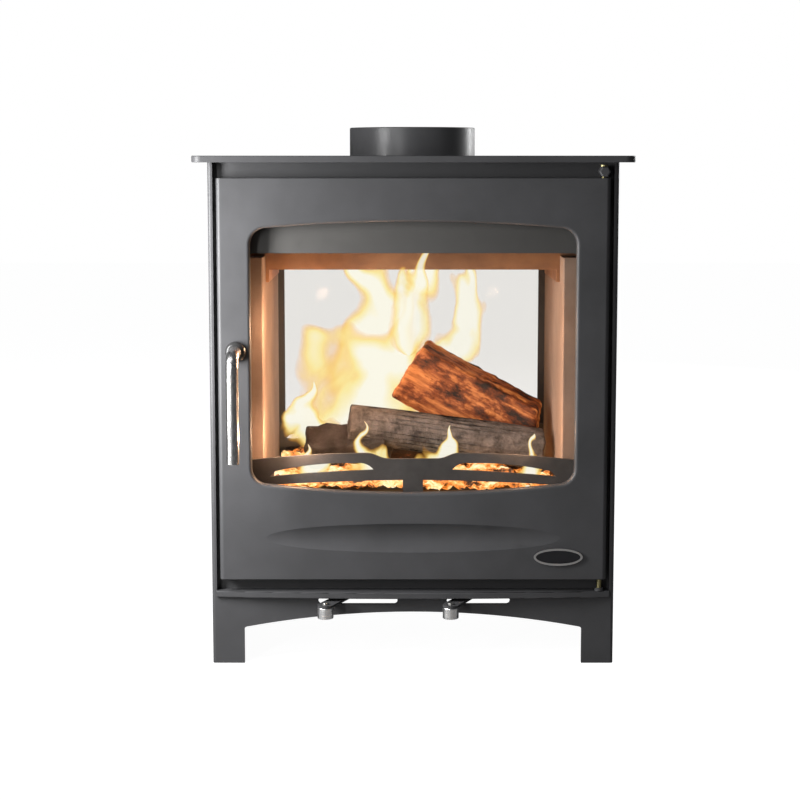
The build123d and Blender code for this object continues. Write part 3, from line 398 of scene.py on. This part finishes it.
# ---- The fire ---------------------------------------------------------------------------------
# Only here to show the stove lit: a split log, two round ones and a charred block on a bed of
# embers, and soft flames drawn on upright cards. None of it is part of the stove.
def show(name, shape, made):
    """Makes an object of a bmesh, shades it smooth and gives it a material."""
    mesh = bpy.data.meshes.new(name)
    shape.to_mesh(mesh)
    shape.free()
    mesh.polygons.foreach_set("use_smooth", [True] * len(mesh.polygons))
    mesh.materials.append(made)
    piece = bpy.data.objects.new(name, mesh)
    bpy.context.scene.collection.objects.link(piece)
    return piece


def roughen(shape, scale, depth, seed):
    """Pushes every point of a shape in or out along its normal by a cloudy pattern."""
    shape.normal_update()
    shift = Vector((seed, seed * 1.7, seed * 0.3))
    for point in shape.verts:
        point.co += point.normal * noise.fractal(point.co * scale + shift, 1.0, 2.0, 4) * depth


def soften(shape, width):
    """Rounds every edge of a shape."""
    bmesh.ops.bevel(
        shape, geom=shape.edges[:], offset=width,
        segments=2, affect="EDGES", profile=0.5, material=-1,
    )


def refine(shape, longest, rounds):
    """Cuts a shape into triangles and halves its edges longer than so many metres, in rounds."""
    bmesh.ops.triangulate(shape, faces=shape.faces[:])
    for _ in range(rounds):
        long_edges = [edge for edge in shape.edges if edge.calc_length() > longest]
        bmesh.ops.subdivide_edges(shape, edges=long_edges, cuts=1, use_grid_fill=True)


def log(name, start, end, radius_start, radius_end, sides, made, seed, turn=0.0):
    """A log between two points, its outline round or, with few sides, split to a wedge."""
    bark_share = 0.12       # of the radius, for the rounded ends and the bark's relief
    run = Vector(end) - Vector(start)
    shape = bmesh.new()
    bmesh.ops.create_cone(
        shape, cap_ends=True, cap_tris=False, segments=sides,
        radius1=radius_start, radius2=radius_end, depth=run.length,
    )
    soften(shape, min(radius_start, radius_end) * bark_share)
    refine(shape, 0.008, 4)
    roughen(shape, 45.0, radius_start * bark_share, seed)
    spin = Matrix.Rotation(turn, 4, "Z")
    aim = run.to_track_quat("Z", "Y").to_matrix().to_4x4()
    bmesh.ops.transform(
        shape, verts=shape.verts,
        matrix=Matrix.Translation((Vector(start) + Vector(end)) / 2) @ aim @ spin,
    )
    show(name, shape, made)


def glowing(name, scale, dark, light, cracks, strength):
    """Burning wood: a dark crust with glowing cracks."""
    made = plain_material(name, {"Roughness": 0.9, "Emission Strength": strength})
    crust = grain(made, scale, detail=8.0, roughness=0.7)
    shades(made, crust, [(0.35, dark), (0.7, light)])
    shades(made, crust, cracks, socket="Emission Color")
    relief(made, grain(made, scale * 4.0), 0.002)
    return made


black = (0.0, 0.0, 0.0)
char = glowing(
    "charred_wood", 55.0, (0.010, 0.009, 0.009), (0.06, 0.05, 0.048),
    [(0.62, black), (0.72, (0.30, 0.05, 0.01)), (0.82, (1.0, 0.35, 0.06))], 0.6,
)
ash_log = glowing(
    "ashen_log", 60.0, (0.025, 0.023, 0.023), (0.20, 0.185, 0.18),
    [(0.68, black), (0.78, (0.45, 0.08, 0.02)), (0.86, (1.0, 0.4, 0.1))], 0.4,
)
log("round_log", (-0.082, -0.055, 0.283), (0.168, -0.03, 0.244), 0.024, 0.027, 24, ash_log, 8.0)
log("char_block", (-0.135, -0.03, 0.248), (-0.030, -0.05, 0.258), 0.030, 0.028, 5, char, 5.0, 0.3)
log("back_log", (-0.10, 0.06, 0.235), (0.14, 0.075, 0.240), 0.028, 0.026, 18, char, 12.0)

# A log split in four: flat faces with the grain running along it, burnt black at its edges.
# Its palest wood carries a painted glow that stands in for the firelight on its faces.
split_corners = ((0.012, 0.375), (0.165, 0.292), (0.162, 0.260), (0.043, 0.272), (-0.030, 0.310))
(upper_x, upper_z), (lower_x, lower_z) = split_corners[:2]
grain_slope = math.atan2(upper_z - lower_z, lower_x - upper_x)
split_shape = bmesh.new()
near_face = split_shape.faces.new([split_shape.verts.new((x, -0.015, z)) for x, z in split_corners])
grown = bmesh.ops.extrude_face_region(split_shape, geom=[near_face])
far_points = [part for part in grown["geom"] if isinstance(part, bmesh.types.BMVert)]
bmesh.ops.translate(split_shape, verts=far_points, vec=(0.010, 0.062, 0.006))
bmesh.ops.recalc_face_normals(split_shape, faces=split_shape.faces[:])
soften(split_shape, 0.004)
refine(split_shape, 0.006, 5)
roughen(split_shape, 70.0, 0.0022, 3.0)


def along_grain(made, slope, stretch, scale, detail, roughness):
    """A cloudy pattern drawn out along wood whose grain slopes down to the right."""
    tree = made.node_tree
    place = tree.nodes.new("ShaderNodeTexCoord")
    turned = tree.nodes.new("ShaderNodeMapping")
    turned.inputs["Rotation"].default_value = (0.0, -slope, 0.0)
    tree.links.new(place.outputs["Object"], turned.inputs["Vector"])
    drawn = tree.nodes.new("ShaderNodeMapping")
    drawn.inputs["Scale"].default_value = (stretch, 1.0, 1.0)
    tree.links.new(turned.outputs["Vector"], drawn.inputs["Vector"])
    cloud = tree.nodes.new("ShaderNodeTexNoise")
    cloud.inputs["Scale"].default_value = scale
    cloud.inputs["Detail"].default_value = detail
    cloud.inputs["Roughness"].default_value = roughness
    tree.links.new(drawn.outputs["Vector"], cloud.inputs["Vector"])
    return cloud.outputs["Fac"]


# Painted light: the split wood is made to glow a little, standing in for firelight on its faces.
split_wood = plain_material("split_wood", {"Roughness": 0.75, "Emission Strength": 0.30})
fibre = along_grain(split_wood, grain_slope, 0.09, 150.0, 6.0, 0.65)
patches = along_grain(split_wood, grain_slope, 0.45, 42.0, 7.0, 0.7)
tree = split_wood.node_tree
charring = tree.nodes.new("ShaderNodeMapRange")
charring.inputs["From Min"].default_value = 0.36
charring.inputs["From Max"].default_value = 0.54
charring.inputs["To Min"].default_value = 0.08
tree.links.new(patches, charring.inputs["Value"])
grain_burn = tree.nodes.new("ShaderNodeMath")
grain_burn.operation = "MULTIPLY"
tree.links.new(fibre, grain_burn.inputs[0])
tree.links.new(charring.outputs["Result"], grain_burn.inputs[1])
wood_stops = [
    (0.08, (0.010, 0.007, 0.006)), (0.36, (0.12, 0.035, 0.012)), (0.62, (0.44, 0.18, 0.065)),
]
shades(split_wood, grain_burn.outputs["Value"], wood_stops)
# Painted light: the palest wood glows orange, as if lit by the flames in front of it.
painted_firelight_stops = [(0.15, black), (0.42, (0.40, 0.07, 0.01)), (0.66, (1.0, 0.36, 0.08))]
shades(split_wood, grain_burn.outputs["Value"], painted_firelight_stops, socket="Emission Color")
relief(split_wood, fibre, 0.0015)
show("split_log", split_shape, split_wood)

# The ember bed: one crumpled sheet just over the grate, from brick to brick.
ember_half_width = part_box("right_firebricks")[0].x - 0.006
ember_half_depth = 0.148
ember_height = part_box("grate")[1].z + 0.003
embers = bmesh.new()
bmesh.ops.create_grid(embers, x_segments=150, y_segments=120, size=1.0)
bmesh.ops.scale(embers, verts=embers.verts, vec=(ember_half_width, ember_half_depth, 1.0))
bmesh.ops.translate(embers, verts=embers.verts, vec=(0.0, 0.0, ember_height))
roughen(embers, 60.0, 0.009, 21.0)
ember_cracks = [
    (0.42, black), (0.49, (1.0, 0.26, 0.03)), (0.55, (1.0, 0.66, 0.26)), (0.63, (1.0, 0.90, 0.62)),
]
ember_bed = glowing("ember_bed", 30.0, (0.03, 0.02, 0.018), (0.30, 0.18, 0.10), ember_cracks, 1.3)
show("ember_bed", embers, ember_bed)

# The flames: each card is one metre square until it is scaled, and its pattern fills it.
flame_colours = (
    (0.0, (1.0, 0.40, 0.05)), (0.22, (1.0, 0.62, 0.13)),
    (0.45, (1.0, 0.87, 0.40)), (0.8, (1.0, 0.985, 0.86)),
)


def flame_material(name, seed, lean, density):
    """Flame: see-through at its soft edge, orange, then yellow, then nearly white inside."""
    made = bpy.data.materials.new(name)
    made.use_nodes = True
    tree = made.node_tree
    tree.nodes.remove(tree.nodes["Principled BSDF"])

    def calc(kind, first, second=0.0, clamp=False):
        step = tree.nodes.new("ShaderNodeMath")
        step.operation = kind
        step.use_clamp = clamp
        for socket, value in zip(step.inputs, (first, second)):
            if isinstance(value, float):
                socket.default_value = value
            else:
                tree.links.new(value, socket)
        return step.outputs[0]

    def cloud(scale, detail, twist):
        shape = tree.nodes.new("ShaderNodeTexNoise")
        shape.inputs["Scale"].default_value = scale
        shape.inputs["Detail"].default_value = detail
        shape.inputs["Distortion"].default_value = twist
        tree.links.new(shift.outputs["Vector"], shape.inputs["Vector"])
        return calc("SUBTRACT", shape.outputs["Fac"], 0.5)

    place = tree.nodes.new("ShaderNodeTexCoord")
    axes = tree.nodes.new("ShaderNodeSeparateXYZ")
    tree.links.new(place.outputs["Object"], axes.inputs["Vector"])
    shift = tree.nodes.new("ShaderNodeMapping")
    shift.inputs["Location"].default_value = (seed, seed * 2.0, seed * 3.0)
    shift.inputs["Scale"].default_value = (1.5, 1.0, 1.0)
    tree.links.new(place.outputs["Object"], shift.inputs["Vector"])
    rise = axes.outputs["Z"]
    sway = calc("MULTIPLY", calc("MULTIPLY", cloud(2.2, 1.0, 0.0), 1.5), rise)
    middle = calc("ADD", calc("MULTIPLY", rise, lean), sway)
    side = calc("ABSOLUTE", calc("SUBTRACT", axes.outputs["X"], middle))
    taper = calc("POWER", calc("SUBTRACT", 0.98, rise, clamp=True), 0.6)
    foot = calc("POWER", calc("MULTIPLY", rise, 3.0, clamp=True), 0.5)
    half_width = calc("ADD", calc("MULTIPLY", calc("MULTIPLY", taper, foot), 0.36), 0.001)
    inside = calc("SUBTRACT", 1.0, calc("DIVIDE", side, half_width))
    ragged = calc("ADD", inside, calc("MULTIPLY", cloud(2.6, 2.5, 0.7), 1.15))
    to_edge = calc("SUBTRACT", 0.49, calc("ABSOLUTE", axes.outputs["X"]), clamp=True)
    within = calc("MULTIPLY", to_edge, 8.0, clamp=True)
    near = calc("MULTIPLY", calc("ADD", inside, 0.7, clamp=True), 2.0, clamp=True)
    body = calc("MULTIPLY", ragged, 1.15, clamp=True)
    heat = calc("MULTIPLY", body, calc("MULTIPLY", within, near))
    glow = tree.nodes.new("ShaderNodeEmission")
    glow.inputs["Strength"].default_value = 1.08
    tree.links.new(tinted(tree, heat, flame_colours), glow.inputs["Color"])
    clear_air = tree.nodes.new("ShaderNodeBsdfTransparent")
    blend = tree.nodes.new("ShaderNodeMixShader")
    thick = calc("MULTIPLY", calc("MULTIPLY", heat, 2.6, clamp=True), density, clamp=True)
    tree.links.new(thick, blend.inputs["Fac"])
    tree.links.new(clear_air.outputs["BSDF"], blend.inputs[1])
    tree.links.new(glow.outputs["Emission"], blend.inputs[2])
    tree.links.new(blend.outputs["Shader"], tree.nodes["Material Output"].inputs["Surface"])
    return made


# middle x, depth y, foot z, width, height, lean, density
flames = (
    (-0.085, 0.060, 0.225, 0.30, 0.235, 0.12, 0.97),
    (-0.040, 0.085, 0.245, 0.31, 0.265, 0.12, 0.95),
    (-0.005, -0.108, 0.375, 0.12, 0.145, 0.10, 0.80),
    (0.048, 0.050, 0.335, 0.13, 0.160, 0.30, 0.80),
    (-0.118, 0.040, 0.222, 0.14, 0.105, -0.15, 0.95),
    (-0.050, -0.085, 0.205, 0.11, 0.085, -0.20, 0.95),
    (0.022, -0.085, 0.205, 0.09, 0.080, 0.25, 0.95),
    (0.146, -0.095, 0.205, 0.07, 0.070, 0.20, 0.95),
    (-0.135, -0.100, 0.202, 0.10, 0.060, 0.10, 0.95),
)
for index, (middle_x, depth_y, foot_z, width, height, lean, density) in enumerate(flames):
    card = bmesh.new()
    bmesh.ops.create_grid(card, x_segments=8, y_segments=8, size=0.5)
    bmesh.ops.translate(card, verts=card.verts, vec=(0.0, 0.5, 0.0))
    upright = Matrix.Rotation(math.pi / 2, 3, "X")
    bmesh.ops.rotate(card, verts=card.verts, cent=(0, 0, 0), matrix=upright)
    name = f"flame_{index}"
    flame = show(name, card, flame_material(name, 3.7 * index + 1.0, lean, density))
    flame.location = (middle_x, depth_y, foot_z)
    flame.scale = (width, 1.0, height)
    flame.visible_shadow = False

fire_orange = (1.0, 0.60, 0.36)
for name, place, power in (
    ("fire_glow_low", (-0.06, 0.0, 0.30), 0.18),
    ("fire_glow_high", (-0.05, 0.03, 0.43), 0.50),
    ("fire_glow_front", (-0.05, -0.125, 0.38), 0.55),
    ("fire_glow_left_low", (-0.14, -0.167, 0.28), 0.85),
    ("fire_glow_left_high", (-0.14, -0.167, 0.41), 0.75),
    ("fire_glow_right_low", (0.13, -0.167, 0.28), 0.30),
    ("fire_glow_right_high", (0.13, -0.167, 0.41), 0.25),
):
    data = bpy.data.lights.new(name, "POINT")
    data.energy = power
    data.color = fire_orange
    data.shadow_soft_size = 0.01
    lamp = bpy.data.objects.new(name, data)
    lamp.location = place
    lamp.visible_camera = False
    bpy.context.scene.collection.objects.link(lamp)
